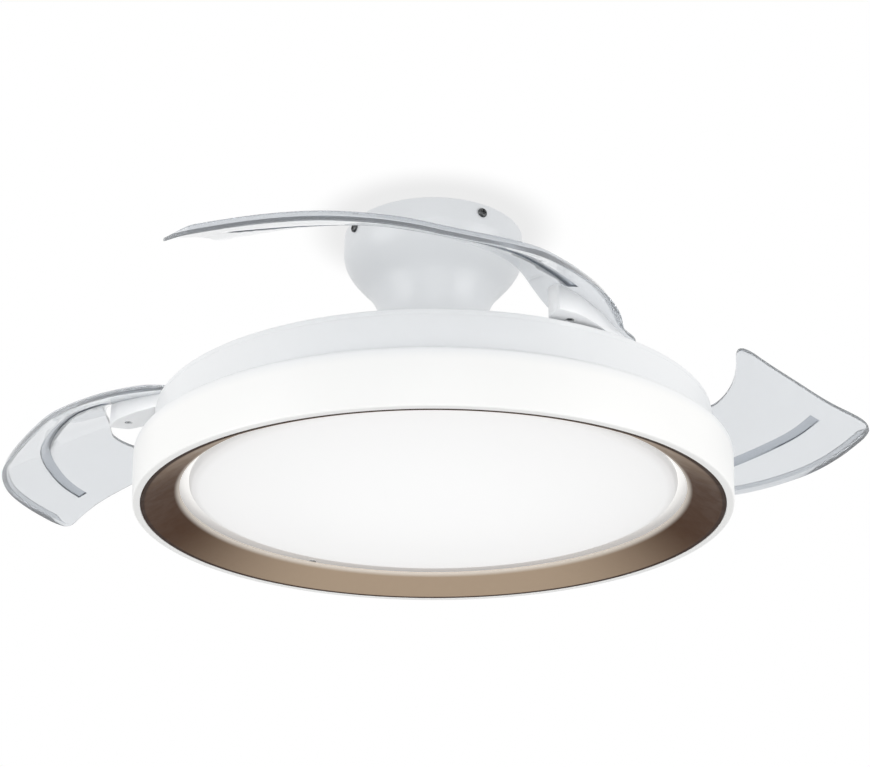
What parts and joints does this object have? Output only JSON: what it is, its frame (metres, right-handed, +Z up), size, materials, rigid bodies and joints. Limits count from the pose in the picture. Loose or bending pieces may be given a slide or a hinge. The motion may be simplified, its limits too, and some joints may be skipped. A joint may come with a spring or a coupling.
{
  "type": "retractable blade ceiling fan",
  "caption": "Ceiling fan with a round drum lamp, a gold trim cone and clear curved blades that fold in over the drum.",
  "frame": {"origin": "middle of the ceiling plate's upper face, where the fan meets the ceiling", "axes": "+Z up along the motor axis, towards the ceiling; -Y towards the side seen in the picture; +X to the right in the picture"},
  "size_m": [0.7975, 0.6531, 0.269],
  "materials": {
    "shade_white": "satin white moulded shell",
    "canopy_white": "satin white moulded cover",
    "trim_gold": "satin champagne gold paint on a moulded ring",
    "motor_alloy": "die-cast, matte",
    "diffuser_opal": "opal, fine matte",
    "blade_clear": "polished clear",
    "arm_smoke": "polished, slightly smoked",
    "steel": "plain machined",
    "screw_black": "dark plated",
    "zinc": "zinc plated",
    "copper": "enamelled winding wire",
    "ferrite": "sintered, matte",
    "board_white": "white solder mask",
    "casing_grey": "fine moulded texture"
  },
  "bodies": {
    "fixed_body": {"ceiling_plate": "zinc", "canopy": "canopy_white", "canopy_screw_1": "screw_black", "canopy_screw_2": "screw_black", "canopy_screw_3": "screw_black", "canopy_screw_4": "screw_black", "receiver_box": "casing_grey", "terminal_block": "casing_grey", "shaft_socket": "zinc", "socket_screw_1": "steel", "socket_screw_2": "steel", "hollow_shaft": "steel", "cross_pin": "steel", "shaft_nut": "steel", "shaft_collar": "steel", "lamp_shade": "shade_white", "gold_trim_ring": "trim_gold", "diffuser": "diffuser_opal", "lamp_tray": "shade_white", "lamp_board": "board_white", "hanger_plate": "zinc", "tray_screw_1": "steel", "tray_screw_2": "steel", "tray_screw_3": "steel", "lamp_driver": "casing_grey", "stator_core": "steel", "stator_winding": "copper", "upper_bearing_inner_ring": "steel", "lower_bearing_inner_ring": "steel"},
    "rotor": {"motor_shell": "motor_alloy", "motor_cover": "motor_alloy", "magnet_ring": "ferrite", "upper_bearing_outer_ring": "steel", "lower_bearing_outer_ring": "steel", "motor_cover_screw_1": "steel", "motor_cover_screw_2": "steel", "motor_cover_screw_3": "steel", "blade_disc": "shade_white", "disc_screw_1": "steel", "disc_screw_2": "steel", "disc_screw_3": "steel", "hinge_pin_1": "steel", "hinge_pin_2": "steel", "hinge_pin_3": "steel"},
    "blade_swing_1": {"blade_1": "blade_clear", "blade_arm_1": "arm_smoke", "return_spring_1": "steel", "blade_screw_1_1": "steel", "blade_screw_1_2": "steel"},
    "blade_swing_2": {"blade_2": "blade_clear", "blade_arm_2": "arm_smoke", "return_spring_2": "steel", "blade_screw_2_1": "steel", "blade_screw_2_2": "steel"},
    "blade_swing_3": {"blade_3": "blade_clear", "blade_arm_3": "arm_smoke", "return_spring_3": "steel", "blade_screw_3_1": "steel", "blade_screw_3_2": "steel"}
  },
  "joints": [
    {"name": "rotor_spin", "type": "hinge", "parent": "fixed_body", "child": "rotor", "pos_m": [0, 0, -0.214], "axis": [0, 0, 1], "continuous": true},
    {"name": "blade_hinge_1", "type": "hinge", "parent": "rotor", "child": "blade_swing_1", "pos_m": [0.14067, -0.14567, -0.181], "axis": [0, 0, 1], "range_deg": [-38.4, 54.6]},
    {"name": "blade_hinge_2", "type": "hinge", "parent": "rotor", "child": "blade_swing_2", "pos_m": [0.05582, 0.19465, -0.181], "axis": [0, 0, 1], "range_deg": [-37.8, 55.2]},
    {"name": "blade_hinge_3", "type": "hinge", "parent": "rotor", "child": "blade_swing_3", "pos_m": [-0.19648, -0.04899, -0.181], "axis": [0, 0, 1], "range_deg": [-66.6, 26.4]}
  ]
}
